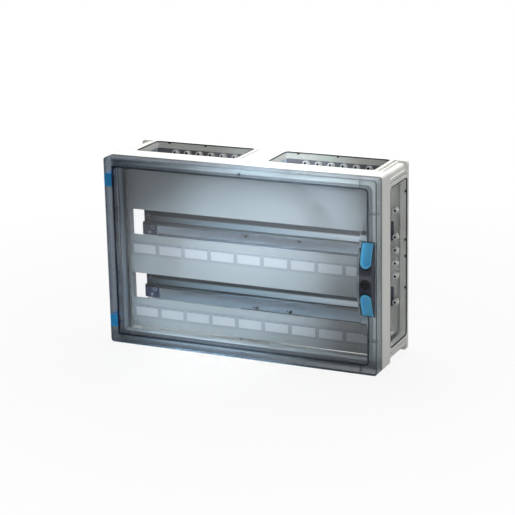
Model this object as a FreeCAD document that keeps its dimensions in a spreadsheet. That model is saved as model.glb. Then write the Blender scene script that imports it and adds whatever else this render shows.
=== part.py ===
"""Two-row electrical distribution box of insulating plastic, with a clear hinged door.

The frame is that of the wall the box hangs on: the origin is the centre of the four wall-fixing
holes on the back face, +X runs to the right, +Z up, and the front looks along -Y. In this file a
"reach" is a distance in front of the wall, so a reach of 10 is the plane Y = -10.
"""
import FreeCAD, Part
import math
import os
import re

import Sketcher
from FreeCAD import Placement, Rotation, Vector

doc = FreeCAD.newDocument("distribution_box")

# Driving dimensions, in millimetres
SIZES = (
    ("width", 540, "whole box, left to right"),
    ("height", 360, "whole box, bottom to top"),
    ("depth", 163, "wall to front pane of the closed door"),
    ("door_depth", 26, "depth of the door moulding"),
    ("corner_radius", 6, "outer corners seen from the front"),
    ("corner_centre", 26, "centre of the inner corner arcs from the edge"),
    ("inner_radius", 4.5, "inner corners of the base and the door"),
    ("lap", 1, "how far a cut or a joined block runs past its face"),
    ("collar_depth", 41, "full-size front collar of the base"),
    ("rear_rim", 9, "full-size rim along the wall"),
    ("wall_recess", 4.5, "side walls set back from the collar"),
    ("wall", 3.5, "base wall thickness"),
    ("back_wall", 5, "base floor thickness"),
    ("fit_gap", 0.3, "gap between pieces that move apart"),
    ("opening_step", 3, "wall openings behind the back of the collar"),
    ("opening_end", 31, "left and right openings from the top and bottom"),
    ("opening_side", 33, "top and bottom openings from the sides"),
    ("opening_web", 66, "between the two openings of the top or bottom"),
    ("opening_radius", 6, "corners of the wall openings"),
    ("jamb_wall", 3, "inward collar round an opening"),
    ("jamb_depth", 13, "how far that collar reaches inwards"),
    ("frame_margin", 8, "raised frame past each end of an opening"),
    ("guide_gap", 4, "groove between frame and guide ridge"),
    ("guide_width", 4, "guide ridge beside a frame"),
    ("guide_height", 3, "guide ridge above the recessed wall"),
    ("seal_width", 2, "dark seal round a wall opening"),
    ("seal_line", 17.5, "centre line of gasket and skirt from the edge"),
    ("rim_width", 7, "raised rim that carries the gasket"),
    ("rim_height", 6, "rim above the collar's front face"),
    ("flange", 6, "thickness of the collar's inward flange"),
    ("gasket_width", 4, "door gasket"),
    ("gasket_groove", 1, "depth of its groove in the rim"),
    ("boss_radius", 6, "fixing bosses on the floor"),
    ("boss_hole", 2.4, "pilot hole radius in a boss"),
    ("boss_height", 10, "boss above the floor"),
    ("boss_inset", 20.5, "boss rows from the outer edge"),
    ("boss_pitch", 25, "spacing within a boss group"),
    ("fixing_side", 45, "wall-fixing holes from the sides"),
    ("fixing_end", 30, "wall-fixing holes from the top and bottom"),
    ("fixing_radius", 3.25, "wall-fixing hole"),
    ("fixing_pad", 8, "raised pad radius round a wall-fixing hole"),
    ("fixing_rise", 2, "height of that pad"),
    ("door_wall", 3, "door wall thickness"),
    ("skirt_wall", 3, "inner skirt of the door"),
    ("skirt_depth", 17, "inner skirt, from the front face"),
    ("swing_relief", 2.5, "door edge cut back beside the hinge"),
    ("hinge_inset", 4.5, "hinge axis from the left side"),
    ("hinge_rise", 6, "hinge axis in front of the collar"),
    ("hinge_end", 43.3, "hinges from the top and bottom"),
    ("pin_radius", 1.5, "hinge pin"),
    ("pin_clearance", 0.05, "running clearance round the pin"),
    ("lug_radius", 3.4, "hinge eye on the base"),
    ("lug_height", 8, "hinge eye, along the pin"),
    ("lug_play", 0.5, "free play above and below the eye"),
    ("clip_height", 24.5, "blue hinge clip"),
    ("clip_width", 15.5, "blue hinge clip, on the front"),
    ("clip_flange", 5, "front flange of the clip"),
    ("clip_leg", 12, "clip behind its front flange, from the left side"),
    ("clip_gap", 0.1, "gap round a clip in the door"),
    ("eye_room", 3, "room in the clip in front of the hinge eye"),
    ("pin_end", 2, "clip beyond each end of the pin"),
    ("pin_grip", 0.01, "gap between the clip and its pin"),
    ("rib", 1.2, "thickness of the ribs beside the door's skirt"),
    ("rib_side", 33, "upright ribs from the right side"),
    ("rib_end", 63, "level ribs from the top and bottom"),
    ("handle_inset", 3, "handle from the right side"),
    ("handle_width", 24, "handle, left to right"),
    ("handle_length", 137, "handle, bottom to top"),
    ("handle_end", 3, "handle height at its ends"),
    ("handle_rise", 19, "handle height at its middle"),
    ("bow_run", 51.5, "moulded bow past each end of the handle"),
    ("bow_band", 4.5, "bow that shows left of the handle"),
    ("bow_toe", 0.3, "height of the bow at its ends"),
    ("bow_step", 1, "bow below the handle's curve"),
    ("bow_shoulder", 4, "full bow past each end of the handle"),
    ("latch_width", 20, "blue slide"),
    ("latch_inner", 24, "round end of a slide from the middle"),
    ("latch_end", 1.5, "handle left beyond the slide's outer end"),
    ("latch_floor", 1.2, "handle left under a slide"),
    ("latch_lift", 0.2, "gap under a slide"),
    ("latch_travel", 3, "slide travel towards the middle"),
    ("latch_play", 0.5, "gap round a slide"),
    ("latch_lip", 1.4, "thumb lip above the handle's curve"),
    ("dish_outer", 2.4, "floor of the thumb dish at its outer end"),
    ("dish_inner", 13, "floor of the thumb dish at its inner end"),
    ("dish_border", 2, "slide left beside the thumb dish"),
    ("dish_crest", 3, "slide left at the dish's round end"),
    ("leg_side", 3.5, "latch leg from the handle's right side"),
    ("leg_width", 6, "latch leg, left to right"),
    ("leg_depth", 3, "latch leg, along its travel"),
    ("leg_inset", 12, "latch leg from the slide's outer end"),
    ("leg_length", 15, "latch leg behind the front pane"),
    ("leg_room", 0.4, "gap round a latch leg"),
    ("keeper_depth", 4, "keeper, along the latch's travel"),
    ("keeper_rise", 11, "keeper in front of the collar"),
    ("lock_radius", 9.5, "round lock plug"),
    ("lock_gap", 0.1, "gap round the lock plug"),
    ("lock_drop", 5, "lock plug below the middle"),
    ("lock_sink", 1, "lock plug below the handle's crest"),
    ("lock_rim", 2, "ring round the lock's dish"),
    ("lock_dish", 1.5, "depth of the lock's dish"),
    ("lock_slot", 2, "key slot, width"),
    ("lock_slot_length", 10, "key slot, length"),
    ("lock_slot_depth", 4, "key slot below the handle's crest"),
    ("cover_sink", 24, "device cover behind the front of the collar"),
    ("cover_sheet", 2.5, "device cover thickness"),
    ("cover_flange", 15, "turned edge of the device cover"),
    ("module", 18, "one device module"),
    ("row_side", 27, "least room between a device row and the sides"),
    ("row_pitch", 125, "between the two device rows"),
    ("row_end", 102, "lower device row from the bottom"),
    ("slot_height", 49, "device slot in the cover"),
    ("slot_spare", 4, "slot longer than its modules"),
    ("slot_radius", 1.5, "corners of a device slot"),
    ("label_drop", 51.5, "label centre below its slot's centre"),
    ("label_gap", 8, "between two label cards"),
    ("label_height", 16.5, "label card"),
    ("card", 0.5, "card thickness"),
    ("carrier_height", 27, "label carrier strip"),
    ("carrier", 1.5, "label carrier thickness"),
    ("rail_sink", 45, "mounting rails behind the device cover"),
    ("rail_width", 35, "hat rail, brim to brim"),
    ("rail_depth", 7.5, "hat rail depth"),
    ("rail_crown", 27, "hat rail crown, outside"),
    ("rail_sheet", 1, "hat rail thickness"),
    ("bracket_length", 20, "rail bracket, along the rail"),
    ("bracket_height", 34, "rail bracket, bottom to top"),
    ("bracket_sheet", 3, "rail bracket thickness"),
    ("screw_radius", 2, "rail and terminal screws"),
    ("screw_head", 4, "head radius of those screws"),
    ("head_height", 2.4, "head height of those screws"),
    ("screw_slot", 1.2, "slot in a screw head"),
    ("screw_grip", 10, "screw length below what it holds"),
    ("fastener_inset", 8.5, "cover fasteners from the cover's edge"),
    ("post_radius", 4.5, "posts that carry the cover"),
    ("terminal_end", 62, "middle of the terminal strips from the top"),
    ("terminal_side", 120, "terminal strips from the sides"),
    ("terminal_margin", 6, "last terminal screw from the end of its strip"),
    ("strip_section", 9, "terminal strip thickness and height"),
    ("strip_gap", 12, "between the two terminal strips"),
    ("carrier_border", 4, "terminal carrier past the strips"),
    ("carrier_reach", 25, "front face of the terminal carrier"),
    ("terminal_web", 2, "strip left under a screw hole"),
    ("terminal_grip", 5, "terminal screw in its strip"),
)

sheet = doc.addObject("Spreadsheet::Sheet", "sizes")
for row, (alias, number, words) in enumerate(SIZES, start=1):
    sheet.set(f"A{row}", alias)
    sheet.set(f"B{row}", str(number))
    sheet.setAlias(f"B{row}", alias)
    sheet.set(f"C{row}", words)
doc.recompute()
ALIASES = {alias for alias, number, words in SIZES}


# Formulas that several pieces share, written with the names above
HALF_W = "width / 2"
HALF_H = "height / 2"
JOINT = "(depth - door_depth)"
COLLAR_BACK = f"({JOINT} - collar_depth)"
OPEN_HIGH = f"({COLLAR_BACK} - opening_step)"
SIDE_OPEN = "(height / 2 - opening_end)"
LEVEL_OPEN = ("opening_web / 2", "width / 2 - opening_side")
INSIDE_W = "(width / 2 - wall_recess - wall)"
INSIDE_H = "(height / 2 - wall_recess - wall)"
RIM_OUT = "(seal_line - rim_width / 2)"
RIM_IN = "(seal_line + rim_width / 2)"
HINGE_X = "(-width / 2 + hinge_inset)"
HINGE_REACH = f"({JOINT} + hinge_rise)"
HINGE_Z = "(height / 2 - hinge_end)"
HANDLE_RIGHT = "(width / 2 - handle_inset)"
HANDLE_LEFT = "(width / 2 - handle_inset - handle_width)"
COVER_FRONT = f"({JOINT} - cover_sink)"
RAIL_FRONT = f"({COVER_FRONT} - rail_sink)"
RAIL_BACK = f"({RAIL_FRONT} - rail_depth)"
ROW_HALF = "(floor((width - 2 * row_side) / module) * module / 2)"
SLOT_HALF = f"({ROW_HALF} + slot_spare / 2)"
ROW_DOWN = "(row_end - height / 2)"
ROW_UP = f"({ROW_DOWN} + row_pitch)"
PLAIN_SIDES = 8


def bound(formula):
    """Names in a formula become cells of the sheet."""
    def cell(word):
        return "sizes." + word[0] if word[0] in ALIASES else word[0]

    return re.sub(r"[a-z_]+", cell, str(formula))


def value(formula):
    """The formula's number at this moment, for a sketch's first shape."""
    result = sheet.evalExpression(str(formula))
    return float(getattr(result, "Value", result))


def drive(thing, prop, formula):
    thing.setExpression(prop, bound(formula))


def mirrored(sign, near, far):
    """A span on the plus side of the middle, or its mirror image on the minus side."""
    return (near, far) if sign > 0 else (f"-({far})", f"-({near})")


def new_body(name):
    body = doc.addObject("PartDesign::Body", name)
    body.Label = name
    return body


def block(body, name, x, reach, z, cut=False):
    """A box in a body, from its spans in X, in reach and in Z."""
    solid = body.newObject("PartDesign::SubtractiveBox" if cut else "PartDesign::AdditiveBox", name)
    drive(solid, "Length", f"({x[1]}) - ({x[0]})")
    drive(solid, "Width", f"({reach[1]}) - ({reach[0]})")
    drive(solid, "Height", f"({z[1]}) - ({z[0]})")
    drive(solid, "Placement.Base.x", x[0])
    drive(solid, "Placement.Base.y", f"-({reach[1]})")
    drive(solid, "Placement.Base.z", z[0])
    return solid


def rod(body, name, radius, length, x, reach, z, cut=False, upright=False, plain=False):
    """A cylinder in a body, along the reach or, when upright, along Z. A plain one has few sides."""
    kind = "Prism" if plain else "Cylinder"
    solid = body.newObject(f"PartDesign::{'Subtractive' if cut else 'Additive'}{kind}", name)
    if not upright:
        solid.Placement = Placement(Vector(), Rotation(Vector(1, 0, 0), 90))
    if plain:
        solid.Polygon = PLAIN_SIDES
        drive(solid, "Circumradius", radius)
    else:
        drive(solid, "Radius", radius)
    drive(solid, "Height", length)
    drive(solid, "Placement.Base.x", x)
    drive(solid, "Placement.Base.y", f"-({reach})")
    drive(solid, "Placement.Base.z", z)
    return solid


def sketch_on(body, plane, station, name):
    """A sketch parallel to an origin plane. Its station is a reach on XZ, an X on YZ, a Z on XY."""
    sketch = body.newObject("Sketcher::SketchObject", name)
    origin = [item for item in body.Origin.OriginFeatures if item.Role == plane][0]
    sketch.AttachmentSupport = [(origin, "")]
    sketch.MapMode = "FlatFace"
    drive(sketch, "AttachmentOffset.Base.z", station)
    return sketch


WAITING = {}


def hold(sketch, constraint, formula=None):
    """A constraint for a sketch, with the formula of its size. They go in together, in settle."""
    WAITING.setdefault(sketch.Name, []).append((constraint, formula))


def settle(sketch):
    """Adds a sketch's waiting constraints at once and binds their sizes to the sheet."""
    waiting = WAITING.pop(sketch.Name, [])
    numbers = sketch.addConstraint([constraint for constraint, formula in waiting])
    for number, (constraint, formula) in zip(numbers, waiting):
        if formula is not None:
            sketch.setExpression(f"Constraints[{number}]", bound(formula))


def pin_point(sketch, item, end, across, up):
    """Dimensions that hold one point of a sketch from its origin."""
    for kind, formula in (("DistanceX", across), ("DistanceY", up)):
        if formula is not None:
            hold(sketch, Sketcher.Constraint(kind, -1, 1, item, end, value(formula)), formula)


def rounded_rectangle(sketch, left, right, low, high, radius):
    """Four lines and four equal arcs, held by its four sides and one radius."""
    x0, x1, z0, z1, r = (value(item) for item in (left, right, low, high, radius))
    first = sketch.GeometryCount
    corners = ((x0 + r, z0 + r, 2), (x1 - r, z0 + r, 3), (x1 - r, z1 - r, 0), (x0 + r, z1 - r, 1))
    for x, z, quarter in corners:
        circle = Part.Circle(Vector(x, z, 0), Vector(0, 0, 1), r)
        sketch.addGeometry(Part.ArcOfCircle(circle, quarter * math.pi / 2, (quarter + 1) * math.pi / 2))
    sides = (((x0 + r, z0), (x1 - r, z0)), ((x1, z0 + r), (x1, z1 - r)),
             ((x1 - r, z1), (x0 + r, z1)), ((x0, z1 - r), (x0, z0 + r)))
    for start, end in sides:
        sketch.addGeometry(Part.LineSegment(Vector(*start, 0), Vector(*end, 0)))
    for number in range(4):
        arc, line, following = first + number, first + 4 + number, first + (number + 1) % 4
        hold(sketch, Sketcher.Constraint("Tangent", arc, 2, line, 1))
        hold(sketch, Sketcher.Constraint("Tangent", line, 2, following, 1))
        hold(sketch, Sketcher.Constraint("Horizontal" if number % 2 == 0 else "Vertical", line))
        if number:
            hold(sketch, Sketcher.Constraint("Equal", first, arc))
    hold(sketch, Sketcher.Constraint("Radius", first, r), radius)
    pin_point(sketch, first + 4, 1, None, low)
    pin_point(sketch, first + 5, 1, right, None)
    pin_point(sketch, first + 6, 1, None, high)
    pin_point(sketch, first + 7, 1, left, None)


def framed(sketch, inset, radius=None):
    """A rounded rectangle at an even inset from the box's outline, its corners on shared centres."""
    radius = radius or f"corner_centre - ({inset})"
    rounded_rectangle(sketch, f"-{HALF_W} + ({inset})", f"{HALF_W} - ({inset})",
                      f"-{HALF_H} + ({inset})", f"{HALF_H} - ({inset})", radius)


def circle_at(sketch, radius, across, up):
    circle = Part.Circle(Vector(value(across), value(up), 0), Vector(0, 0, 1), value(radius))
    item = sketch.addGeometry(circle)
    hold(sketch, Sketcher.Constraint("Radius", item, value(radius)), radius)
    pin_point(sketch, item, 3, across, up)


def closed_outline(sketch, points, arcs=()):
    """Sides through the points in turn. A side named in arcs bends through its middle point."""
    places = [Vector(value(across), value(up), 0) for across, up in points]
    middles = {side: (across, up) for side, across, up in arcs}
    count = len(points)
    first = sketch.GeometryCount
    for side in range(count):
        start, end = places[side], places[(side + 1) % count]
        if side in middles:
            middle = Vector(*(value(item) for item in middles[side]), 0)
            sketch.addGeometry(Part.Arc(start, middle, end))
        else:
            sketch.addGeometry(Part.LineSegment(start, end))
    for side in range(count):
        corner = (side + 1) % count
        mine = end_at(sketch, first + side, places[corner])
        theirs = end_at(sketch, first + corner, places[corner])
        hold(sketch, Sketcher.Constraint("Coincident", first + side, mine, first + corner, theirs))
        pin_point(sketch, first + corner, theirs, *points[corner])
    for side, middle in middles.items():
        spot = Part.Point(Vector(*(value(item) for item in middle), 0))
        item = sketch.addGeometry(spot, True)
        hold(sketch, Sketcher.Constraint("PointOnObject", item, 1, first + side))
        pin_point(sketch, item, 1, *middle)


def end_at(sketch, item, place):
    """1 where an item of a sketch starts at the place, 2 where it ends there: arcs can be reversed."""
    return 1 if sketch.getPoint(item, 1).isEqual(place, 1e-6) else 2


def grown(body, kind, sketch, length, name, midplane):
    settle(sketch)
    feature = body.newObject(kind, name)
    feature.Profile = sketch
    drive(feature, "Length", length)
    if midplane:
        feature.SideType = "Symmetric"
    return feature


def pad(body, sketch, length, name, midplane=False):
    return grown(body, "PartDesign::Pad", sketch, length, name, midplane)


def pocket(body, sketch, length, name, midplane=False):
    return grown(body, "PartDesign::Pocket", sketch, length, name, midplane)


def cut_from(base, tool, name):
    result = doc.addObject("Part::Cut", name)
    result.Base = base
    result.Tool = tool
    result.Label = name
    return result


def joined(shapes, name):
    result = doc.addObject("Part::MultiFuse", name)
    result.Shapes = shapes
    result.Label = name
    return result


def common_of(shapes, name):
    result = doc.addObject("Part::MultiCommon", name)
    result.Shapes = shapes
    result.Label = name
    return result


NODES = []


def node(piece):
    """A finished piece, written to the file of its own name. Only its last step merges faces."""
    if piece.TypeId == "PartDesign::Body":
        for feature in piece.Group:
            if "Refine" in feature.PropertiesList:
                feature.Refine = feature == piece.Tip
    NODES.append(piece)
    return piece


HANDS = (("left", -1), ("right", 1))
LEVELS = (("upper", 1), ("lower", -1))


# Where each wall opening is: plane of its sketch, side of the box, and its two spans
def wall_openings():
    away = (f"-{OPEN_HIGH}", "-rear_rim")
    for hand, side in HANDS:
        yield hand, "YZ_Plane", side, away, (f"-{SIDE_OPEN}", SIDE_OPEN)
    for level, side in (("top", 1), ("bottom", -1)):
        for hand, sign in HANDS:
            yield f"{level}_{hand}", "XY_Plane", side, mirrored(sign, *LEVEL_OPEN), away


# Base housing: one moulded tray, open at the front, with six framed openings in its walls
base = new_body("base_tray")
walls = sketch_on(base, "XZ_Plane", "0", "walls_outline")
framed(walls, "wall_recess", "corner_radius")
pad(base, walls, JOINT, "walls")
for name, station, length in (("rear_rim_ring", "0", "rear_rim"), ("collar", COLLAR_BACK, "collar_depth")):
    ring = sketch_on(base, "XZ_Plane", station, name + "_outline")
    framed(ring, "0", "corner_radius")
    pad(base, ring, length, name)
MOULDED = ("rear_rim / 2", f"{COLLAR_BACK} + lap")
SIDE_FRAME = f"({SIDE_OPEN} + frame_margin)"
block(base, "side_frames", (f"-{HALF_W}", HALF_W), MOULDED, (f"-{SIDE_FRAME}", SIDE_FRAME))
GUIDE_OUT_W = "(width / 2 - wall_recess + guide_height)"
GUIDE_OUT_H = "(height / 2 - wall_recess + guide_height)"
for hand, sign in HANDS:
    frame = mirrored(sign, f"{LEVEL_OPEN[0]} - frame_margin", f"{LEVEL_OPEN[1]} + frame_margin")
    block(base, f"{hand}_level_frames", frame, MOULDED, (f"-{HALF_H}", HALF_H))
    groove_end = f"{LEVEL_OPEN[1]} + frame_margin + guide_gap"
    block(base, f"{hand}_outer_guides", mirrored(sign, groove_end, f"{groove_end} + guide_width"), MOULDED,
          (f"-{GUIDE_OUT_H}", GUIDE_OUT_H))
for level, sign in LEVELS:
    groove_end = f"{SIDE_FRAME} + guide_gap"
    block(base, f"{level}_side_guides", (f"-{GUIDE_OUT_W}", GUIDE_OUT_W), MOULDED,
          mirrored(sign, groove_end, f"{groove_end} + guide_width"))
INNER_GUIDE = f"({LEVEL_OPEN[0]} - frame_margin - guide_gap)"
block(base, "middle_guide", (f"-{INNER_GUIDE}", INNER_GUIDE), MOULDED, (f"-{GUIDE_OUT_H}", GUIDE_OUT_H))

# Raised rim for the gasket, then the hollow and the mouth inside the rim
rim = sketch_on(base, "XZ_Plane", JOINT, "rim_outline")
framed(rim, RIM_OUT)
pad(base, rim, "rim_height", "rim")
mouth = sketch_on(base, "XZ_Plane", f"{JOINT} + rim_height", "mouth_outline")
framed(mouth, RIM_IN)
pocket(base, mouth, "rim_height + flange + lap", "mouth")
hollow = sketch_on(base, "XZ_Plane", f"{JOINT} - flange", "hollow_outline")
framed(hollow, "wall_recess + wall", "inner_radius")
pocket(base, hollow, f"{JOINT} - flange - back_wall", "hollow")
groove = sketch_on(base, "XZ_Plane", f"{JOINT} + rim_height", "gasket_groove_outline")
framed(groove, "seal_line - gasket_width / 2")
framed(groove, "seal_line + gasket_width / 2")
pocket(base, groove, "gasket_groove", "gasket_groove_cut")

# Inward collars of the openings, then the openings and the grooves of their seals
JAMB_W = "(width / 2 - jamb_depth)"
JAMB_H = "(height / 2 - jamb_depth)"
JAMB_SPAN = ("back_wall - lap", f"{OPEN_HIGH} + jamb_wall")
for hand, sign in HANDS:
    block(base, f"{hand}_jamb", mirrored(sign, JAMB_W, f"{INSIDE_W} + lap"), JAMB_SPAN,
          (f"-{SIDE_OPEN} - jamb_wall", f"{SIDE_OPEN} + jamb_wall"))
for level, up in LEVELS:
    for hand, sign in HANDS:
        block(base, f"{level}_{hand}_jamb",
              mirrored(sign, f"{LEVEL_OPEN[0]} - jamb_wall", f"{LEVEL_OPEN[1]} + jamb_wall"), JAMB_SPAN,
              mirrored(up, JAMB_H, f"{INSIDE_H} + lap"))
through = sketch_on(base, "YZ_Plane", "0", "side_openings_outline")
rounded_rectangle(through, f"-{OPEN_HIGH}", "-rear_rim", f"-{SIDE_OPEN}", SIDE_OPEN, "opening_radius")
pocket(base, through, "width + 2 * lap", "side_openings", midplane=True)
through = sketch_on(base, "XY_Plane", "0", "level_openings_outline")
for hand, sign in HANDS:
    rounded_rectangle(through, *mirrored(sign, *LEVEL_OPEN), f"-{OPEN_HIGH}", "-rear_rim", "opening_radius")
pocket(base, through, "height + 2 * lap", "level_openings", midplane=True)


def seal_ring(body, plane, station, across, up, name):
    """Outline of a wall seal, just outside its opening."""
    sketch = sketch_on(body, plane, station, name)
    rounded_rectangle(sketch, f"{across[0]} - seal_width", f"{across[1]} + seal_width",
                      f"{up[0]} - seal_width", f"{up[1]} + seal_width", "opening_radius + seal_width")
    rounded_rectangle(sketch, across[0], across[1], up[0], up[1], "opening_radius")
    return sketch


for place, plane, side, across, up in wall_openings():
    half = HALF_W if plane == "YZ_Plane" else HALF_H
    bottom = f"{half} - seal_width" if side > 0 else f"-{half}"
    top = half if side > 0 else f"-{half} + seal_width"
    outline = seal_ring(base, plane, top, across, up, f"{place}_seal_groove_outline")
    pocket(base, outline, "seal_width", f"{place}_seal_groove")
    seal = new_body(f"{place}_wall_seal")
    pad(seal, seal_ring(seal, plane, bottom, across, up, f"{place}_seal_outline"), "seal_width",
        f"{place}_seal")
    node(seal)

# Bosses on the floor, posts for the cover, pads of the wall fixings, and all their holes
BOSS_X = f"({HALF_W} - boss_inset)"
BOSS_Z = f"({HALF_H} - boss_inset)"
LEVEL_MIDDLE = f"({LEVEL_OPEN[0]} + {LEVEL_OPEN[1]}) / 2"
boss_places = []
for hand, sign in HANDS:
    boss_places += [(f"{sign} * {BOSS_X}", f"{step} * boss_pitch")
                    for step in (-3.5, -1.5, -0.5, 0.5, 1.5, 3.5)]
    for level, up in LEVELS:
        boss_places += [(f"{sign} * {LEVEL_MIDDLE} + {step} * boss_pitch", f"{up} * {BOSS_Z}")
                        for step in (-2.5, -1.5, -0.5, 0.5, 1.5, 2.5)]
POST_X = f"({HALF_W} - {RIM_IN} - fit_gap - fastener_inset)"
POST_Z = f"({HALF_H} - {RIM_IN} - fit_gap - fastener_inset)"
COVER_BACK = f"({COVER_FRONT} - cover_sheet)"
corners = [(a, b) for a in (-1, 1) for b in (-1, 1)]
posts = [(f"{a} * {POST_X}", f"{b} * {POST_Z}") for a, b in corners]
fixings = [(f"{a} * (width / 2 - fixing_side)", f"{b} * (height / 2 - fixing_end)") for a, b in corners]


def circles(body, station, radius, places, name):
    sketch = sketch_on(body, "XZ_Plane", station, name)
    for across, up in places:
        circle_at(sketch, radius, across, up)
    return sketch


pad(base, circles(base, "back_wall", "post_radius", posts, "post_outlines"),
    f"{COVER_BACK} - back_wall", "cover_posts")
pad(base, circles(base, "back_wall", "fixing_pad", fixings, "fixing_pad_outlines"), "fixing_rise",
    "fixing_pads")
pocket(base, circles(base, COVER_BACK, "screw_radius + pin_clearance", posts, "post_hole_outlines"),
       "screw_grip + lap", "post_holes")
pocket(base, circles(base, "back_wall + fixing_rise", "fixing_radius", fixings, "fixing_outlines"),
       "back_wall + fixing_rise + lap", "fixing_holes")

# Hinge eyes on the collar, one behind each blue clip, and the keepers of the latches
for name, sign in LEVELS:
    level = f"{sign} * {HINGE_Z}"
    eye = (f"{level} - lug_height / 2", f"{level} + lug_height / 2")
    block(base, f"{name}_hinge_arm", (f"{HINGE_X} - lug_radius", f"{HINGE_X} + lug_radius"),
          (f"{JOINT} - lap", HINGE_REACH), eye)
    rod(base, f"{name}_hinge_eye", "lug_radius", "lug_height", HINGE_X, HINGE_REACH, eye[0], upright=True)
    rod(base, f"{name}_hinge_bore", "pin_radius + pin_clearance", "lug_height + 2 * lap", HINGE_X,
        HINGE_REACH, f"{eye[0]} - lap", cut=True, upright=True)
LEG_Z = "(handle_length / 2 - latch_end - leg_inset)"
LEG_X = (f"{HANDLE_RIGHT} - leg_side - leg_width", f"{HANDLE_RIGHT} - leg_side")

for name, sign in LEVELS:
    near = f"{LEG_Z} + leg_depth + leg_room"
    block(base, f"{name}_keeper", LEG_X, (f"{JOINT} - lap", f"{JOINT} + keeper_rise"),
          mirrored(sign, near, f"{near} + keeper_depth"))

# The fixing bosses stand in rows on the floor, open in front
boss_tubes = []
for number, (x, z) in enumerate(boss_places, start=1):
    boss = new_body(f"boss_{number}")
    rod(boss, f"boss_post_{number}", "boss_radius", "boss_height", x, "back_wall", z, plain=True)
    rod(boss, f"boss_hole_{number}", "boss_hole", "boss_height", x, "back_wall", z, cut=True, plain=True)
    boss_tubes.append(boss)
node(joined([base] + boss_tubes, "base_housing"))

# Door gasket, a soft ring in the groove of the rim
gasket = new_body("door_gasket")
ring = sketch_on(gasket, "XZ_Plane", f"{JOINT} + rim_height - gasket_groove", "gasket_outline")
framed(ring, "seal_line - gasket_width / 2")
framed(ring, "seal_line + gasket_width / 2")
pad(gasket, ring, f"depth - skirt_depth - fit_gap - ({JOINT} + rim_height - gasket_groove)", "gasket")
node(gasket)


# Device cover: a sheet with a turned edge, two device slots and four fastener holes
COVER_INSET = f"({RIM_IN} + fit_gap)"
cover = new_body("device_cover")
face = sketch_on(cover, "XZ_Plane", f"{COVER_FRONT} - cover_flange", "cover_outline")
framed(face, COVER_INSET)
pad(cover, face, "cover_flange", "cover_block")
inner = sketch_on(cover, "XZ_Plane", COVER_BACK, "cover_inside_outline")
framed(inner, f"{COVER_INSET} + cover_sheet")
pocket(cover, inner, "cover_flange", "cover_inside")
slots = sketch_on(cover, "XZ_Plane", COVER_FRONT, "device_slots_outline")
for row in (ROW_UP, ROW_DOWN):
    rounded_rectangle(slots, f"-{SLOT_HALF}", SLOT_HALF, f"{row} - slot_height / 2",
                      f"{row} + slot_height / 2", "slot_radius")
pocket(cover, slots, "cover_sheet + lap", "device_slots")
pocket(cover, circles(cover, COVER_FRONT, "screw_radius + pin_clearance", posts, "cover_hole_outlines"),
       "cover_sheet + lap", "cover_holes")
node(cover)


def screws(name, places, shank_from, seat, plain=False):
    """A group of screws, each its own solid. Places are in X and Z, the seat is a reach."""
    solids = []
    for number, (x, z) in enumerate(places, start=1):
        screw = new_body(f"{name}_{number}")
        rod(screw, f"{name}_{number}_shank", "screw_radius", f"({seat}) - ({shank_from})", x, shank_from, z,
            plain=plain)
        rod(screw, f"{name}_{number}_head", "screw_head", "head_height", x, seat, z, plain=plain)
        if not plain:
            block(screw, f"{name}_{number}_slot", (f"{x} - screw_head - lap", f"{x} + screw_head + lap"),
                  (f"{seat} + head_height / 2", f"{seat} + head_height + lap"),
                  (f"{z} - screw_slot / 2", f"{z} + screw_slot / 2"), cut=True)
        solids.append(screw)
    group = doc.addObject("Part::Compound", name)
    group.Links = solids
    group.Label = name
    return node(group)


screws("cover_screws", posts, f"{COVER_BACK} - screw_grip", COVER_FRONT)

# Label carriers and cards, one strip under each device row
LABELS = 9
LABEL_PITCH = f"(2 * {ROW_HALF} / {LABELS})"
LABEL_HALF = f"({LABEL_PITCH} / 2 - label_gap / 2)"
for name, row in (("upper", ROW_UP), ("lower", ROW_DOWN)):
    level = f"({row} - label_drop)"
    strip = new_body(f"label_carrier_{name}")
    block(strip, f"{name}_strip", (f"-{SLOT_HALF}", SLOT_HALF), (COVER_FRONT, f"{COVER_FRONT} + carrier"),
          (f"{level} - carrier_height / 2", f"{level} + carrier_height / 2"))
    node(strip)
    cards = []
    for number in range(1, LABELS + 1):
        middle = f"({number} - {LABELS + 1} / 2) * {LABEL_PITCH}"
        card = new_body(f"label_card_{name}_{number}")
        block(card, f"{name}_card_{number}", (f"{middle} - {LABEL_HALF}", f"{middle} + {LABEL_HALF}"),
              (f"{COVER_FRONT} + carrier", f"{COVER_FRONT} + carrier + card"),
              (f"{level} - label_height / 2", f"{level} + label_height / 2"))
        cards.append(card)
    group = doc.addObject("Part::Compound", f"label_cards_{name}")
    group.Links = cards
    group.Label = f"label_cards_{name}"
    node(group)


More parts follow.
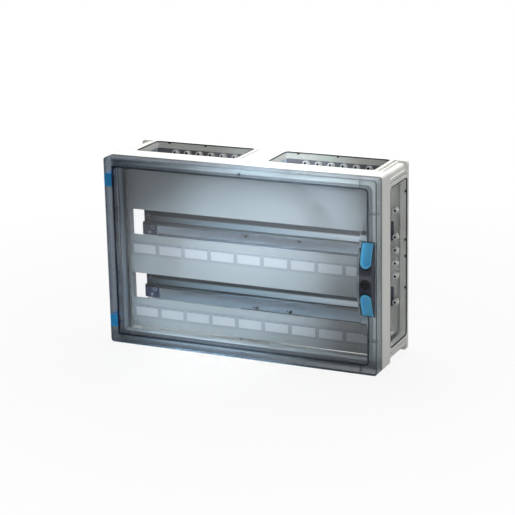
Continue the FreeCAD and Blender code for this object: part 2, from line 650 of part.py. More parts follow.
# Mounting rails of folded steel with a hat section, and the brackets that hold their ends
for name, row in (("upper", ROW_UP), ("lower", ROW_DOWN)):
    rail = new_body(f"din_rail_{name}")
    hat = sketch_on(rail, "YZ_Plane", f"-{ROW_HALF}", f"{name}_hat_outline")
    brim, crown, back, front = "rail_width / 2", "rail_crown / 2", f"-{RAIL_BACK}", f"-{RAIL_FRONT}"
    skin = "rail_sheet"
    closed_outline(hat, (
        (front, f"{row} + {brim}"), (front, f"{row} + {crown} - {skin}"),
        (f"{back} - {skin}", f"{row} + {crown} - {skin}"), (f"{back} - {skin}", f"{row} - {crown} + {skin}"),
        (front, f"{row} - {crown} + {skin}"), (front, f"{row} - {brim}"),
        (f"{front} + {skin}", f"{row} - {brim}"), (f"{front} + {skin}", f"{row} - {crown}"),
        (back, f"{row} - {crown}"), (back, f"{row} + {crown}"),
        (f"{front} + {skin}", f"{row} + {crown}"), (f"{front} + {skin}", f"{row} + {brim}")))
    pad(rail, hat, f"2 * {ROW_HALF}", f"{name}_hat")
    ends = [(f"{side}({ROW_HALF} - bracket_length / 2)", row) for side in ("-", "")]
    pocket(rail, circles(rail, RAIL_FRONT, "screw_radius + pin_clearance", ends, f"{name}_rail_holes"),
           "rail_depth + lap", f"{name}_rail_hole_cut")
    node(rail)
    for hand, side in (("left", "-"), ("right", "")):
        bracket = new_body(f"rail_bracket_{name}_{hand}")
        tag = f"{name}_{hand}"
        outer, inner = f"{ROW_HALF}", f"({ROW_HALF} - bracket_length)"
        across = (f"-{outer}", f"-{inner}") if side else (inner, outer)
        web = (across[0], f"{across[0]} + bracket_sheet")
        if not side:
            web = (f"{across[1]} - bracket_sheet", across[1])
        tall = (f"{row} - bracket_height / 2", f"{row} + bracket_height / 2")
        block(bracket, f"{tag}_foot", across, ("back_wall", "back_wall + bracket_sheet"), tall)
        block(bracket, f"{tag}_web", web, ("back_wall", RAIL_BACK), tall)
        block(bracket, f"{tag}_head", across, (f"{RAIL_BACK} - bracket_sheet", RAIL_BACK), tall)
        for edge, level in (("low", tall[0]), ("high", f"{tall[1]} - bracket_sheet")):
            block(bracket, f"{tag}_{edge}_rib", across, ("back_wall", RAIL_BACK),
                  (level, f"{level} + bracket_sheet"))
        centre = f"{side}({ROW_HALF} - bracket_length / 2)"
        rod(bracket, f"{tag}_screw_hole", "screw_radius + pin_clearance", "bracket_sheet + 2 * lap", centre,
            f"{RAIL_BACK} - bracket_sheet - lap", row, cut=True)
        node(bracket)
rail_screw_places = [(f"{side}({ROW_HALF} - bracket_length / 2)", row)
                     for row in (ROW_UP, ROW_DOWN) for side in ("-", "")]
screws("rail_screws", rail_screw_places, f"{RAIL_BACK} - screw_grip", f"{RAIL_BACK} + rail_sheet")


# Earth and neutral terminal strips on their carrier, in the roomier top of the box
carrier_body = new_body("terminal_carrier")
TERMINAL_Z = "(height / 2 - terminal_end)"
STRIP_HALF = "(width / 2 - terminal_side)"
TERMINAL_HALF = f"({STRIP_HALF} + strip_section)"
CARRIER_TALL = "(strip_gap / 2 + strip_section + carrier_border)"
block(carrier_body, "carrier_bed", (f"-{TERMINAL_HALF}", TERMINAL_HALF),
      ("carrier_reach - bracket_sheet", "carrier_reach"),
      (f"{TERMINAL_Z} - {CARRIER_TALL}", f"{TERMINAL_Z} + {CARRIER_TALL}"))
for hand, side in (("left", "-"), ("right", "")):
    across = (f"-{TERMINAL_HALF}", f"-{TERMINAL_HALF} + strip_section") if side else (
        f"{TERMINAL_HALF} - strip_section", TERMINAL_HALF)
    block(carrier_body, f"carrier_leg_{hand}", across, ("back_wall", "carrier_reach"),
          (f"{TERMINAL_Z} - {CARRIER_TALL}", f"{TERMINAL_Z} + {CARRIER_TALL}"))
node(carrier_body)
for name, sign in (("earth", 1), ("neutral", -1)):
    level = f"({TERMINAL_Z} + {sign} * (strip_gap + strip_section) / 2)"
    strip = new_body(f"{name}_terminal_strip")
    block(strip, f"{name}_strip_bar", (f"-{STRIP_HALF}", STRIP_HALF),
          ("carrier_reach", "carrier_reach + strip_section"),
          (f"{level} - strip_section / 2", f"{level} + strip_section / 2"))
    places = [(f"{step} / 4 * ({STRIP_HALF} - terminal_margin)", level) for step in range(-4, 5)]
    for number, (x, z) in enumerate(places, start=1):
        rod(strip, f"{name}_hole_{number}", "screw_radius + pin_clearance", "strip_section", x,
            "carrier_reach + terminal_web", z, cut=True, plain=True)
    node(strip)
    screws(f"{name}_terminal_screws", places, "carrier_reach + strip_section - terminal_grip",
           "carrier_reach + strip_section", plain=True)


# Clear door: one moulding with an outer edge, a front pane, an inner skirt and a bow at the handle
door = new_body("door_moulding")
whole = sketch_on(door, "XZ_Plane", JOINT, "door_outline")
framed(whole, "0", "corner_radius")
pad(door, whole, "door_depth", "door_block")
hollow = sketch_on(door, "XZ_Plane", "depth - door_wall", "door_hollow_outline")
framed(hollow, "door_wall", "inner_radius")
pocket(door, hollow, "door_depth", "door_hollow")
skirt = sketch_on(door, "XZ_Plane", "depth - skirt_depth", "skirt_outline")
framed(skirt, "seal_line - skirt_wall / 2")
framed(skirt, "seal_line + skirt_wall / 2")
pad(door, skirt, "skirt_depth - door_wall / 2", "skirt")
block(door, "swing_edge", (f"-{HALF_W} - lap", "-width / 2 + 2 * door_wall"),
      (f"{JOINT} - lap", f"{JOINT} + swing_relief"), (f"-{HALF_H} - lap", f"{HALF_H} + lap"), cut=True)
RIB_SPAN = ("depth - skirt_depth", "depth - door_wall / 2")
RIB_FROM, RIB_TO = "door_wall / 2", "seal_line"
for name, sign in LEVELS:
    block(door, f"{name}_upright_rib", (f"{HALF_W} - rib_side - rib / 2", f"{HALF_W} - rib_side + rib / 2"),
          RIB_SPAN, mirrored(sign, f"{HALF_H} - {RIB_TO}", f"{HALF_H} - {RIB_FROM}"))
    block(door, f"{name}_level_rib", (f"{HALF_W} - {RIB_TO}", f"{HALF_W} - {RIB_FROM}"), RIB_SPAN,
          mirrored(sign, f"{HALF_H} - rib_end - rib / 2", f"{HALF_H} - rib_end + rib / 2"))
CLIP_EDGE = "(clip_height / 2 + clip_gap)"
for name, sign in LEVELS:
    level = f"{sign} * {HINGE_Z}"
    block(door, f"{name}_clip_notch", (f"-{HALF_W} - lap", "-width / 2 + clip_width + clip_gap"),
          (f"{JOINT} - lap", "depth + lap"), (f"{level} - {CLIP_EDGE}", f"{level} + {CLIP_EDGE}"), cut=True)

# The bow rises beside the handle and runs out above and below it
HALF_BOW, HALF_HANDLE = "(handle_length / 2 + bow_run)", "handle_length / 2"
bow_side = new_body("bow_from_the_side")
side = sketch_on(bow_side, "YZ_Plane", f"{HANDLE_LEFT} - bow_band - lap", "bow_side_outline")
closed_outline(side, (
    ("-depth + lap", f"-{HALF_BOW}"), ("-depth + lap", HALF_BOW), ("-depth - bow_toe", HALF_BOW),
    ("-depth - handle_end", HALF_HANDLE), ("-depth - handle_end", f"-{HALF_HANDLE}"),
    ("-depth - bow_toe", f"-{HALF_BOW}")), arcs=((3, "-depth - handle_rise + bow_step", "0"),))
pad(bow_side, side, "handle_inset + handle_width", "bow_side")
bow_front = new_body("bow_from_the_front")
front = sketch_on(bow_front, "XZ_Plane", "depth - lap", "bow_front_outline")
BOW_LEFT = f"({HANDLE_LEFT} - bow_band)"
BOW_TIP = "(width / 2 - seal_line - skirt_wall)"
BOW_TURN = f"({HALF_HANDLE} + bow_shoulder)"
HANDLE_STOP = f"({HALF_HANDLE} + fit_gap)"
closed_outline(front, (
    (BOW_TIP, HALF_BOW), (BOW_LEFT, BOW_TURN), (BOW_LEFT, f"-{BOW_TURN}"), (BOW_TIP, f"-{HALF_BOW}"),
    (f"{BOW_TIP} + skirt_wall", f"-{HALF_BOW}"), (f"{BOW_TIP} + skirt_wall", f"-{HANDLE_STOP}"),
    (HANDLE_LEFT, f"-{HANDLE_STOP}"), (HANDLE_LEFT, HANDLE_STOP),
    (f"{BOW_TIP} + skirt_wall", HANDLE_STOP), (f"{BOW_TIP} + skirt_wall", HALF_BOW)))
pad(bow_front, front, "handle_rise + 2 * lap", "bow_front")
bow = common_of([bow_side, bow_front], "door_bow")

# Handle: a bow-shaped grip with a pocket for each slide and a round lock
grip_side = new_body("grip_from_the_side")
arch = sketch_on(grip_side, "YZ_Plane", HANDLE_LEFT, "grip_side_outline")
closed_outline(arch, (
    ("-depth", f"-{HALF_HANDLE}"), ("-depth", HALF_HANDLE), ("-depth - handle_end", HALF_HANDLE),
    ("-depth - handle_end", f"-{HALF_HANDLE}")), arcs=((2, "-depth - handle_rise", "0"),))
pad(grip_side, arch, "handle_width", "grip")
SLIDE_X = f"({HANDLE_RIGHT} - handle_width / 2)"
SLIDE_OUT = f"({HALF_HANDLE} - latch_end)"
SLIDE_IN = "latch_inner"


def slide_outline(sketch, sign, spread, reach_in):
    """A slide seen from the front: square outside, round inside. Grown by a spread."""
    half = f"(latch_width / 2 + {spread})"
    outer = f"{sign} * ({SLIDE_OUT} + {spread})"
    turn = f"{sign} * ({SLIDE_IN} + latch_width / 2 - {reach_in})"
    tip = f"{sign} * ({SLIDE_IN} - {reach_in} - {spread})"
    closed_outline(sketch, (
        (f"{SLIDE_X} - {half}", outer), (f"{SLIDE_X} - {half}", turn),
        (f"{SLIDE_X} + {half}", turn), (f"{SLIDE_X} + {half}", outer)), arcs=((1, SLIDE_X, tip),))


LOCK_Z = "-lock_drop"
pockets = []
for name, sign in LEVELS:
    room = new_body(f"{name}_slide_room")
    outline = sketch_on(room, "XZ_Plane", "depth + latch_floor", f"{name}_room_outline")
    slide_outline(outline, sign, "latch_play", "latch_travel")
    pad(room, outline, "handle_rise", f"{name}_room")
    pockets.append(room)
gates = []
for name, sign in LEVELS:
    gate = new_body(f"{name}_leg_gate")
    block(gate, f"{name}_gate", (f"{LEG_X[0]} - leg_room", f"{LEG_X[1]} + leg_room"),
          ("depth - door_wall - lap", "depth + latch_floor + lap"),
          mirrored(sign, f"{LEG_Z} - latch_travel - leg_room", f"{LEG_Z} + leg_depth + leg_room"))
    gates.append(gate)
lock_room = new_body("lock_room")
LOCK_SEAT = "(depth + handle_rise / 2)"
rod(lock_room, "lock_room_bore", "lock_radius + lock_gap", "handle_rise", SLIDE_X, LOCK_SEAT, LOCK_Z)
node(cut_from(grip_side, joined(pockets + gates + [lock_room], "grip_rooms"), "handle_body"))
node(cut_from(joined([door, bow], "door_solid"), joined(gates, "leg_gates"), "door_shell"))

lock = new_body("lock_plug")
LOCK_TOP = "(depth + handle_rise - lock_sink)"
rod(lock, "lock_barrel", "lock_radius", f"{LOCK_TOP} - {LOCK_SEAT}", SLIDE_X, LOCK_SEAT, LOCK_Z)
rod(lock, "lock_face", "lock_radius - lock_rim", "lock_dish + lap", SLIDE_X,
    f"{LOCK_TOP} - lock_dish", LOCK_Z, cut=True)
block(lock, "lock_key_slot", (f"{SLIDE_X} - lock_slot_length / 2", f"{SLIDE_X} + lock_slot_length / 2"),
      (f"{LOCK_TOP} - lock_slot_depth", f"{LOCK_TOP} + lap"),
      (f"{LOCK_Z} - lock_slot / 2", f"{LOCK_Z} + lock_slot / 2"), cut=True)
node(lock)

# Blue slides: arched like the grip, with a thumb pad and a raised lip at the inner end
for name, sign in LEVELS:
    outline_body = new_body(f"{name}_slide_front")
    outline = sketch_on(outline_body, "XZ_Plane", "depth + latch_floor + latch_lift",
                        f"{name}_slide_outline")
    slide_outline(outline, sign, "0", "0")
    pad(outline_body, outline, "handle_rise + latch_lip", f"{name}_slide_prism")
    arched = new_body(f"{name}_slide_side")
    profile = sketch_on(arched, "YZ_Plane", f"{SLIDE_X} - latch_width", f"{name}_slide_profile")
    closed_outline(profile, (
        ("-depth", f"-{HALF_HANDLE}"), ("-depth", HALF_HANDLE),
        ("-depth - handle_end - latch_lip", HALF_HANDLE),
        ("-depth - handle_end - latch_lip", f"-{HALF_HANDLE}")),
        arcs=((2, "-depth - handle_rise - latch_lip", "0"),))
    pad(arched, profile, "2 * latch_width", f"{name}_slide_arch")
    blank = common_of([outline_body, arched], f"{name}_slide_blank")
    thumb = new_body(f"{name}_thumb_room")
    dish = sketch_on(thumb, "YZ_Plane", f"{SLIDE_X} - latch_width / 2 + dish_border",
                     f"{name}_thumb_profile")
    inner, outer = f"{sign} * {SLIDE_IN}", f"{sign} * ({SLIDE_OUT} + lap)"
    above = "-depth - handle_rise - latch_lip - lap"
    closed_outline(dish, (
        ("-depth - dish_outer", outer), ("-depth - dish_inner", inner), (above, inner), (above, outer)))
    pad(thumb, dish, "latch_width - 2 * dish_border", f"{name}_thumb")
    rounder = new_body(f"{name}_thumb_rounder")
    shape = sketch_on(rounder, "XZ_Plane", "depth", f"{name}_thumb_outline")
    half = "(latch_width / 2 - dish_border)"
    turn = f"{sign} * ({SLIDE_IN} + dish_crest + {half})"
    closed_outline(shape, (
        (f"{SLIDE_X} - {half}", outer), (f"{SLIDE_X} - {half}", turn),
        (f"{SLIDE_X} + {half}", turn), (f"{SLIDE_X} + {half}", outer)),
        arcs=((1, SLIDE_X, f"{sign} * ({SLIDE_IN} + dish_crest)"),))
    pad(rounder, shape, "handle_rise + latch_lip + 2 * lap", f"{name}_thumb_prism")
    hollowed = cut_from(blank, common_of([thumb, rounder], f"{name}_thumb_dish"), f"{name}_slide_dished")
    leg = new_body(f"{name}_leg")
    block(leg, f"{name}_leg_block", LEG_X, ("depth - leg_length", "depth + latch_floor + latch_lift + lap"),
          mirrored(sign, LEG_Z, f"{LEG_Z} + leg_depth"))
    node(joined([hollowed, leg], f"latch_{name}"))

# Hinge clips on the door, each holding a pin that turns in an eye of the base
for name, sign in LEVELS:
    level = f"({sign} * {HINGE_Z})"
    tall = (f"{level} - clip_height / 2", f"{level} + clip_height / 2")
    clip = new_body(f"hinge_clip_{name}")
    block(clip, f"{name}_clip_body", (f"-{HALF_W}", "-width / 2 + clip_leg"),
          (f"{JOINT} + swing_relief", "depth"), tall)
    block(clip, f"{name}_clip_face", (f"-{HALF_W}", "-width / 2 + clip_width"),
          ("depth - clip_flange", "depth"), tall)
    rod(clip, f"{name}_pin_hole", "pin_radius + pin_grip", "clip_height - 2 * pin_end", HINGE_X,
        HINGE_REACH, f"{tall[0]} + pin_end", cut=True, upright=True)
    eye_half = "(lug_height / 2 + lug_play)"
    block(clip, f"{name}_eye_room", (f"-{HALF_W} - lap", "-width / 2 + clip_leg + lap"),
          (f"{JOINT} + swing_relief - lap", f"{HINGE_REACH} + lug_radius + eye_room"),
          (f"{level} - {eye_half}", f"{level} + {eye_half}"), cut=True)
    node(clip)
    pin = new_body(f"hinge_pin_{name}")
    rod(pin, f"{name}_pin", "pin_radius", "clip_height - 2 * pin_end", HINGE_X, HINGE_REACH,
        f"{tall[0]} + pin_end", upright=True)
    node(pin)

doc.recompute()
for item in doc.Objects:
    if "Invalid" in item.State or "Error" in item.State:
        raise RuntimeError(f"{item.Label} failed: {item.getStatusString()}")
os.makedirs("parts", exist_ok=True)
for piece in NODES:
    shape = piece.Shape
    if shape.isNull() or not shape.isValid() or not shape.Solids:
        raise RuntimeError(f"{piece.Label} has no valid solid")
    shape.exportStep(f"parts/{piece.Label}.step")
    box = shape.BoundBox
    spans = ", ".join(f"{low:.1f} to {high:.1f}" for low, high in (
        (box.XMin, box.XMax), (box.YMin, box.YMax), (box.ZMin, box.ZMax)))
    print(f"{piece.Label}: {len(shape.Solids)} solids, {shape.Volume:.0f} mm3, {spans}")
print(len(NODES), "nodes")
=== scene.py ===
"""Looks of the two-row distribution box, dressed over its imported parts."""

import math

import bmesh
import bpy
from mathutils import Matrix, Vector


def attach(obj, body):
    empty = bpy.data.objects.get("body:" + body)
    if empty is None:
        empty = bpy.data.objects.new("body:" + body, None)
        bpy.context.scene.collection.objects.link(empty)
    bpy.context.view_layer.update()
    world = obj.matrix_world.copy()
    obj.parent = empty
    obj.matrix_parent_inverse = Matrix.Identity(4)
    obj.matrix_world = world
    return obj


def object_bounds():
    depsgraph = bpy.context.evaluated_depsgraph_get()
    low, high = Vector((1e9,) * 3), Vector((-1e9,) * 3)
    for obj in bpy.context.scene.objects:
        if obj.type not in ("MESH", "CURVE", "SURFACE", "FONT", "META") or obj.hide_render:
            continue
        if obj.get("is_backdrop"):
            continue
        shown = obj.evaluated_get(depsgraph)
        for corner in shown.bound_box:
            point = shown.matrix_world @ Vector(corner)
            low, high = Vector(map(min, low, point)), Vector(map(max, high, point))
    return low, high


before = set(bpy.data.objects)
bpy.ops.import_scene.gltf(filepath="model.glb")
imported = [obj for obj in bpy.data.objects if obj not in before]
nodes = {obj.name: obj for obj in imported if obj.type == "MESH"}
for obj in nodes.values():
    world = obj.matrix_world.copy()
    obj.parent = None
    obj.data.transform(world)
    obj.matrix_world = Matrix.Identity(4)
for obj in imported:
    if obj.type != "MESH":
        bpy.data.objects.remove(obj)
cad_low, cad_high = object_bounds()


# Studio table
# The box stands on a plain white table, as in a catalogue photograph. The table glows white where the
# camera looks straight at it, and near the box a tenth of it is pale paint that takes a soft shadow.
TABLE_REACH = 12
TABLE_GAP = 0.0002
SHADOW_NEAR, SHADOW_FAR = 0.45, 1.1
GLOW_NEAR, GLOW_FAR = 0.90, 1.0


def studio_plane(name, reach, middle):
    """A flat square in the studio that lies level."""
    mesh = bmesh.new()
    bmesh.ops.create_grid(mesh, x_segments=1, y_segments=1, size=reach)
    bmesh.ops.translate(mesh, verts=mesh.verts, vec=middle)
    data = bpy.data.meshes.new(name)
    mesh.to_mesh(data)
    mesh.free()
    plane = bpy.data.objects.new(name, data)
    bpy.context.scene.collection.objects.link(plane)
    return plane


def paint_tree(material):
    """The node tree of a material, and its one Principled shader."""
    material.use_nodes = True
    return material.node_tree, material.node_tree.nodes["Principled BSDF"]


def feed(tree, socket, value):
    """Links a node's output to a socket, or sets the socket to a number or colour."""
    if isinstance(value, bpy.types.NodeSocket):
        tree.links.new(value, socket)
    else:
        socket.default_value = value


def reckon(tree, operation, *values):
    """The result of one sum on numbers or sockets."""
    node = tree.nodes.new("ShaderNodeMath")
    node.operation = operation
    for socket, value in zip(node.inputs, values):
        feed(tree, socket, value)
    return node.outputs[0]


def object_place(tree):
    """Where a point lies on the box, in metres."""
    return tree.nodes.new("ShaderNodeTexCoord").outputs["Object"]


def distance_from(tree, point):
    """How far the surface is from a point."""
    node = tree.nodes.new("ShaderNodeVectorMath")
    node.operation = "DISTANCE"
    node.inputs[1].default_value = point
    tree.links.new(object_place(tree), node.inputs[0])
    return node.outputs["Value"]


def slope(tree, value, start, end, first=0.0, last=1.0, curve="LINEAR"):
    """Goes from first to last while a value goes from start to end."""
    node = tree.nodes.new("ShaderNodeMapRange")
    node.interpolation_type = curve
    for name, number in (("From Min", start), ("From Max", end), ("To Min", first), ("To Max", last)):
        node.inputs[name].default_value = number
    tree.links.new(value, node.inputs["Value"])
    return node.outputs["Result"]


def plain_view(tree):
    """One where the camera looks straight or through the clear door, and zero where light bounces."""
    rays = tree.nodes.new("ShaderNodeLightPath").outputs
    seen = reckon(tree, "MAXIMUM", rays["Is Camera Ray"], rays["Is Transmission Ray"])
    return reckon(tree, "MULTIPLY", seen, reckon(tree, "LESS_THAN", rays["Diffuse Depth"], 0.5))


def show_blend(tree, share, first, second):
    """Shows a blend of two shaders on the surface."""
    node = tree.nodes.new("ShaderNodeMixShader")
    for socket, value in zip(node.inputs, (share, first.outputs[0], second.outputs[0])):
        tree.links.new(value, socket)
    tree.links.new(node.outputs[0], tree.nodes["Material Output"].inputs["Surface"])


floor = studio_plane("studio_floor", TABLE_REACH, (0, 0, cad_low.z - TABLE_GAP))
floor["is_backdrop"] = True
floor.visible_glossy = False
studio_white = bpy.data.materials.new("studio_white")
tree, paint = paint_tree(studio_white)
paint.inputs["Base Color"].default_value = (0.5, 0.5, 0.5, 1)
paint.inputs["Roughness"].default_value = 0.9
glow = tree.nodes.new("ShaderNodeEmission")
glow.inputs["Strength"].default_value = 1.0
fade = slope(tree, distance_from(tree, (0, 0, 0)), SHADOW_NEAR, SHADOW_FAR, GLOW_NEAR, GLOW_FAR)
show_blend(tree, reckon(tree, "MULTIPLY", plain_view(tree), fade), paint, glow)
floor.data.materials.append(studio_white)

# Studio backdrop
# A white backdrop all round. It looks full white to the camera, and lights the box only weakly.
SKY_LIGHT, SKY_WHITE = 0.17, 1.0
world = bpy.data.worlds.new("studio_sky")
bpy.context.scene.world = world
world.use_nodes = True
sky = world.node_tree
backdrop = sky.nodes["Background"]
backdrop.inputs["Color"].default_value = (1, 1, 1, 1)
sky.links.new(slope(sky, plain_view(sky), 0, 1, SKY_LIGHT, SKY_WHITE), backdrop.inputs["Strength"])

# Lamps
# Large soft lamps above and on both sides light the whole box. Two narrow, bluish ones from the camera's
# side each throw a pool of light through the door onto the device cover.
BOX_MIDDLE = Vector((0.00307, -0.083, -0.00806))
POOL_BLUE = (0.82, 0.92, 1.0)


def lamp(name, place, size, power, aim=BOX_MIDDLE, spread=180, colour=(1, 1, 1)):
    """A soft square lamp that faces the box. A small spread, in degrees, gives a pool of light."""
    light = bpy.data.lights.new(name, "AREA")
    light.size = size
    light.energy = power
    light.spread = math.radians(spread)
    light.color = colour
    holder = bpy.data.objects.new(name, light)
    holder.location = place
    holder.rotation_mode = "QUATERNION"
    holder.rotation_quaternion = (Vector(aim) - Vector(place)).to_track_quat("-Z", "Y")
    bpy.context.scene.collection.objects.link(holder)


lamp("lamp_above", (-0.2, 0.55, 2.1), size=1.4, power=60)
lamp("lamp_left", (-2.2, -1.0, 0.9), size=1.4, power=3)
lamp("lamp_right", (2.3, -0.95, 0.8), size=1.2, power=17)
lamp("lamp_pool_left", (0.3, -2.0, 0.86), size=0.12, power=0.78,
     aim=(-0.06, -0.113, -0.09), spread=10, colour=POOL_BLUE)
lamp("lamp_pool_right", (0.65, -2.0, 0.97), size=0.12, power=0.70,
     aim=(0.05, -0.113, 0.065), spread=7.5, colour=POOL_BLUE)

# Reflector card
# A card on the table in front of the box, brightest in its middle. The camera doesn't see it: only its
# reflection shows, as a pale haze on the lower left of the polished door.
CARD_REACH = 0.6
CARD_X, CARD_Y, CARD_GAP = -0.27, -0.95, 0.001
CARD_GLOW = 2.2
CARD_BRIGHT, CARD_DARK = 0.05, 0.55
reflector = studio_plane("reflector_card", CARD_REACH, (CARD_X, CARD_Y, cad_low.z + CARD_GAP))
reflector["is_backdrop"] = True
reflector.visible_camera = False
reflector.visible_diffuse = False
reflector.visible_transmission = False
reflector.visible_shadow = False
reflector_white = bpy.data.materials.new("reflector_white")
tree, _ = paint_tree(reflector_white)
card_middle = distance_from(tree, (CARD_X, CARD_Y, cad_low.z))
glow = tree.nodes.new("ShaderNodeEmission")
glow.inputs["Color"].default_value = (0.91, 0.95, 1.0, 1)
tree.links.new(slope(tree, card_middle, CARD_BRIGHT, CARD_DARK, CARD_GLOW, 0.0, "SMOOTHSTEP"),
               glow.inputs["Strength"])
tree.links.new(glow.outputs[0], tree.nodes["Material Output"].inputs["Surface"])
reflector.data.materials.append(reflector_white)

# Camera
# The photograph looks down on the front from the right, from about three metres, through a long lens.
# Angles are in degrees, the distance in metres, and the lens and its frame in millimetres.
AZIMUTH, ELEVATION, ROLL = 24.831, 16.318, -1.211
DISTANCE = 3.3
LENS, FRAME_WIDTH = 124.26, 36
turn, rise, tilt = (math.radians(angle) for angle in (AZIMUTH, ELEVATION, ROLL))
back = Vector((math.sin(turn) * math.cos(rise), -math.cos(turn) * math.cos(rise), math.sin(rise)))
across = (-back).cross(Vector((0, 0, 1))).normalized()
upward = across.cross(-back)
right = math.cos(tilt) * across + math.sin(tilt) * upward
upright = -math.sin(tilt) * across + math.cos(tilt) * upward
camera = bpy.data.objects.new("camera", bpy.data.cameras.new("camera"))
camera.data.sensor_width = FRAME_WIDTH
camera.data.lens = LENS
camera.matrix_world = Matrix((right, upright, back)).transposed().to_4x4()
camera.location = BOX_MIDDLE + back * DISTANCE
bpy.context.scene.collection.objects.link(camera)
bpy.context.scene.camera = camera
bpy.context.scene.view_settings.view_transform = "Standard"


# Base housing
# One deep tray moulded in light grey, glass-filled polycarbonate with a fine spark-eroded texture.
# Behind the smoked door its mouth is darkened with painted shade towards the left and below, and its
# floor has a painted bluish cast of the light through the door.
CLOUD_SCALE, CLOUD_DETAIL = 9, 4
GLOSS_SCALE, GLOSS_DETAIL = 22, 3
GRAIN_DETAIL, GRAIN_HEIGHT = 2, 0.0002
GRAIN_SIZE, GRAIN_DEPTH = 0.0004, 0.2
HALF_GLOSS, UNEVENNESS = 0.5, 0.1


def noise(tree, place, scale, detail):
    """A soft random pattern over the surface."""
    node = tree.nodes.new("ShaderNodeTexNoise")
    tree.links.new(place, node.inputs["Vector"])
    feed(tree, node.inputs["Scale"], scale)
    node.inputs["Detail"].default_value = detail
    return node.outputs["Fac"]


def bumped(tree, height, strength, distance):
    """The direction of a surface that a pattern makes uneven."""
    node = tree.nodes.new("ShaderNodeBump")
    node.inputs["Distance"].default_value = distance
    feed(tree, node.inputs["Strength"], strength)
    tree.links.new(height, node.inputs["Height"])
    return node.outputs["Normal"]


def mould_texture():
    """The grain of the mould, as fine bumps and slightly uneven gloss, for every moulded piece."""
    group = bpy.data.node_groups.new("moulded_grain", "ShaderNodeTree")
    for name, default in (("Size", GRAIN_SIZE), ("Depth", GRAIN_DEPTH), ("Gloss", HALF_GLOSS),
                          ("Unevenness", UNEVENNESS)):
        socket = group.interface.new_socket(name, in_out="INPUT", socket_type="NodeSocketFloat")
        socket.default_value = default
    group.interface.new_socket("Normal", in_out="OUTPUT", socket_type="NodeSocketVector")
    group.interface.new_socket("Roughness", in_out="OUTPUT", socket_type="NodeSocketFloat")
    given = group.nodes.new("NodeGroupInput").outputs
    result = group.nodes.new("NodeGroupOutput").inputs
    place = object_place(group)
    fine = noise(group, place, reckon(group, "DIVIDE", 1, given["Size"]), GRAIN_DETAIL)
    group.links.new(bumped(group, fine, given["Depth"], GRAIN_HEIGHT), result["Normal"])
    broad = noise(group, place, GLOSS_SCALE, GLOSS_DETAIL)
    centred = reckon(group, "SUBTRACT", broad, 0.5)
    group.links.new(reckon(group, "MULTIPLY_ADD", centred, given["Unevenness"], given["Gloss"]),
                    result["Roughness"])
    return group


moulded_grain = mould_texture()


def mixed(tree, share, first, second, blend="MIX"):
    """Two colours, mixed by a share."""
    node = tree.nodes.new("ShaderNodeMix")
    node.data_type = "RGBA"
    node.blend_type = blend
    feed(tree, node.inputs["Factor"], share)
    for name, colour in (("A", first), ("B", second)):
        feed(tree, node.inputs[name], colour)
    return node.outputs["Result"]


def moulded(name, colour, tint, gloss, depth=GRAIN_DEPTH):
    """A moulded plastic: two near colours in soft clouds, and the grain of its mould."""
    material = bpy.data.materials.new(name)
    tree, paint = paint_tree(material)
    grain = tree.nodes.new("ShaderNodeGroup")
    grain.node_tree = moulded_grain
    for key, number in (("Size", GRAIN_SIZE), ("Depth", depth), ("Gloss", gloss),
                        ("Unevenness", UNEVENNESS)):
        grain.inputs[key].default_value = number
    cloud = noise(tree, object_place(tree), CLOUD_SCALE, CLOUD_DETAIL)
    tree.links.new(mixed(tree, cloud, (*colour, 1), (*tint, 1)), paint.inputs["Base Color"])
    tree.links.new(grain.outputs["Roughness"], paint.inputs["Roughness"])
    tree.links.new(grain.outputs["Normal"], paint.inputs["Normal"])
    return material


def dress(material, *names):
    """Gives CAD nodes a finish in place of their packed one."""
    for name in names:
        data = nodes[name].data
        data.materials.clear()
        data.materials.append(material)


def axes(tree):
    """The three coordinates of a point on the box."""
    node = tree.nodes.new("ShaderNodeSeparateXYZ")
    tree.links.new(object_place(tree), node.inputs[0])
    return node.outputs


def plain_colour(paint):
    """The colour that a finish has before it is tinted."""
    return paint.inputs["Base Color"].links[0].from_socket


OUTER_SKIN = 0.0045
MOUTH_DEPTH = 0.097
MOUTH_SHADE = (0.11, 0.125, 0.155, 1)
FLOOR_FACE, FLOOR_FACE_REACH, FLOOR_RIGHT_END = -0.0035, 0.0022, 0.205
FLOOR_PAINTED_BLUE_CAST = (0.66, 0.76, 0.86, 1)
housing_grey = moulded("housing_grey", (0.76, 0.77, 0.735), (0.80, 0.81, 0.775), gloss=0.55)
tree, paint = paint_tree(housing_grey)
place = axes(tree)
inside_sides, inside_ends = (
    reckon(tree, "LESS_THAN", reckon(tree, "ABSOLUTE", place[axis]), limit - OUTER_SKIN)
    for axis, limit in (("X", cad_high.x), ("Z", cad_high.z)))
inside = reckon(tree, "MULTIPLY", inside_sides, inside_ends)
in_front = reckon(tree, "GREATER_THAN", reckon(tree, "ABSOLUTE", place["Y"]), MOUTH_DEPTH)
mouth = reckon(tree, "MULTIPLY", inside, in_front)
# Painted shade: inside the mouth the grey darkens to MOUTH_SHADE towards the left and towards the bottom.
to_left = slope(tree, place["X"], start=-0.10, end=-0.26)
below = slope(tree, place["Z"], start=-0.12, end=-0.17, last=0.7)
mouth_shade = reckon(tree, "MULTIPLY", mouth, reckon(tree, "MAXIMUM", to_left, below))
mouth_painted_shade = mixed(tree, mouth_shade, plain_colour(paint), MOUTH_SHADE)
# Painted light: the floor of the tray is tinted blue for the cast of the light that comes through the
# smoked door.
floor_face = reckon(tree, "COMPARE", place["Y"], FLOOR_FACE, FLOOR_FACE_REACH)
behind_slots = reckon(tree, "LESS_THAN", place["X"], FLOOR_RIGHT_END)
tray_floor = reckon(tree, "MULTIPLY", floor_face, reckon(tree, "MULTIPLY", inside, behind_slots))
tree.links.new(mixed(tree, tray_floor, mouth_painted_shade, FLOOR_PAINTED_BLUE_CAST), paint.inputs["Base Color"])
dress(housing_grey, "base_housing")
